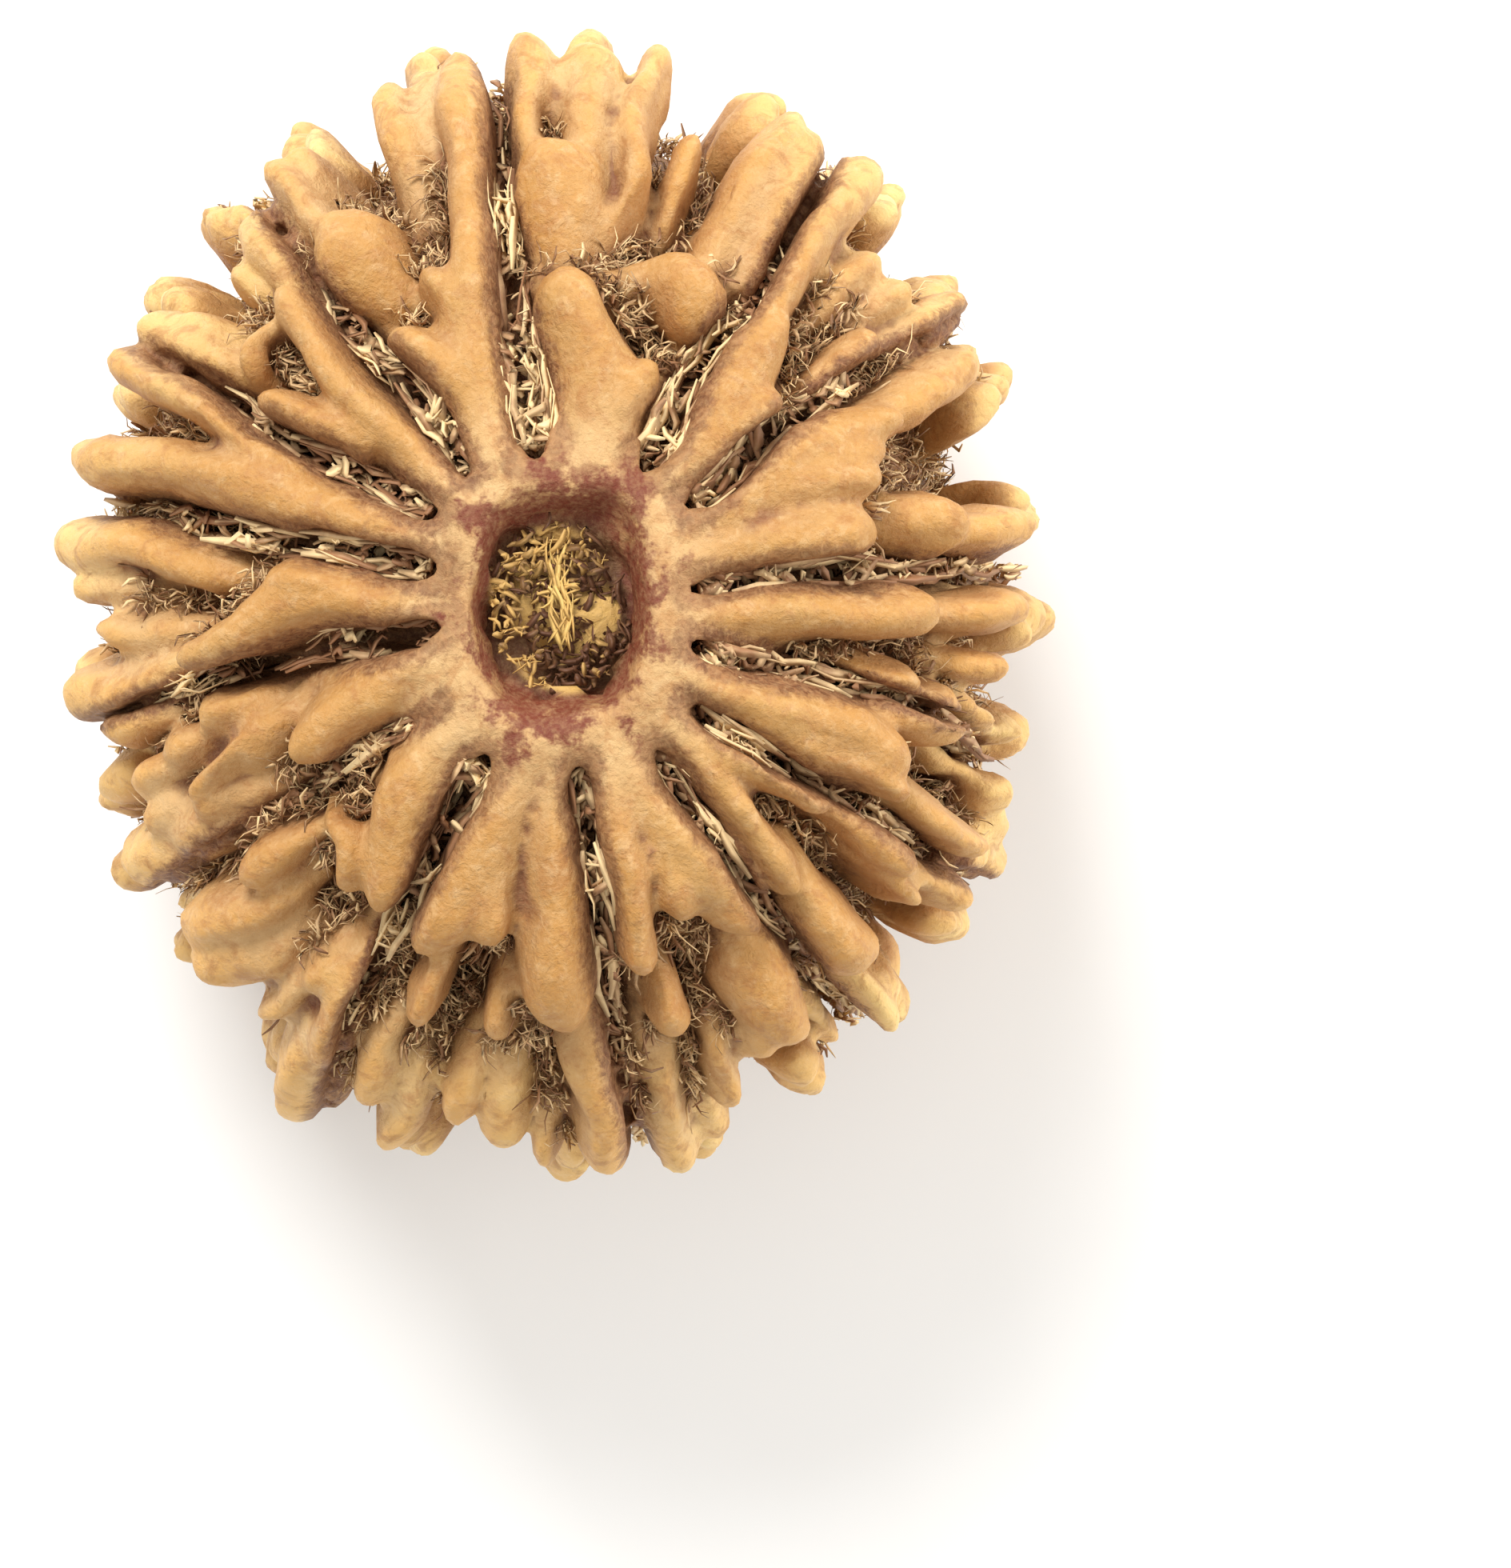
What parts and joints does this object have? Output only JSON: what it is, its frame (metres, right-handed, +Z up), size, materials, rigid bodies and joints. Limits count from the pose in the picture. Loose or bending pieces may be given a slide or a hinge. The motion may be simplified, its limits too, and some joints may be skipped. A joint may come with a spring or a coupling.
{
  "type": "rudraksha bead",
  "caption": "Ridged, deeply cleft stone of a rudraksha fruit, a natural bead that stands on one flat-worn pole.",
  "frame": {"origin": "middle of the bead's footprint, at the surface it stands on", "axes": "+Z up along the line between the poles, +Y along the wide way of the oval waist, +X across it"},
  "size_m": [0.0273, 0.0322, 0.0243],
  "materials": {
    "nut": "dry matt stone of a fruit, tan on the lobes, reddish brown in the valleys, with straw fibre in the clefts"
  },
  "bodies": {
    "root": {"rudraksha_bead": "nut"}
  },
  "joints": []
}
